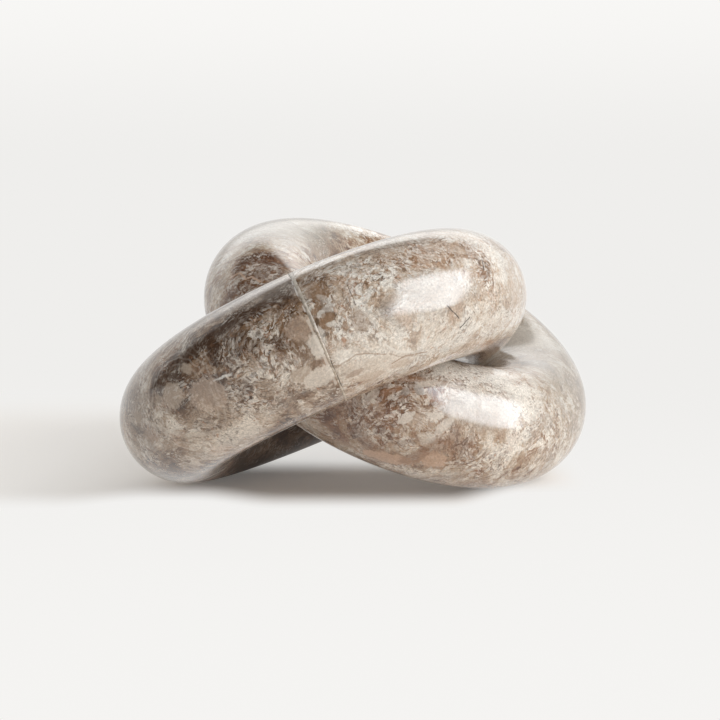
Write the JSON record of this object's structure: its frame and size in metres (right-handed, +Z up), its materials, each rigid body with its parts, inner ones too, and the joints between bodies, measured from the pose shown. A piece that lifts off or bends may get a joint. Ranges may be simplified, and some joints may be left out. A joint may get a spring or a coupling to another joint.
{
  "type": "chain link sculpture",
  "caption": "Polished stone chain-link ornament: interlocked round links that lean on each other, the closed link free to swing inside the bonded one.",
  "frame": {"origin": "on the standing surface, under the middle of the outline", "axes": "+Z up from the standing surface; +Y away from the front, the longest way across; +X to the right, towards the closed link's low end"},
  "size_m": [0.1562, 0.1744, 0.0879],
  "materials": {
    "closed_link_marble": "polished taupe marble with cream and brown fossil fragments",
    "left_half_marble": "polished grey-taupe marble with cream and brown fossil fragments",
    "right_half_marble": "polished light taupe marble with cream and brown fossil fragments",
    "seam_resin": "pale grey filled resin, polished flush"
  },
  "bodies": {
    "jointed_link": {"jointed_link_left_half": "left_half_marble", "jointed_link_right_half": "right_half_marble", "resin_seam_front": "seam_resin", "resin_seam_back": "seam_resin"},
    "closed_link": {"closed_link": "closed_link_marble"}
  },
  "joints": [
    {"name": "closed_link_swing", "type": "hinge", "parent": "jointed_link", "child": "closed_link", "pos_m": [0.0075, -0.0216, 0.0352], "axis": [0.8904, 0.006, -0.4552], "range_deg": [0, 110]}
  ]
}
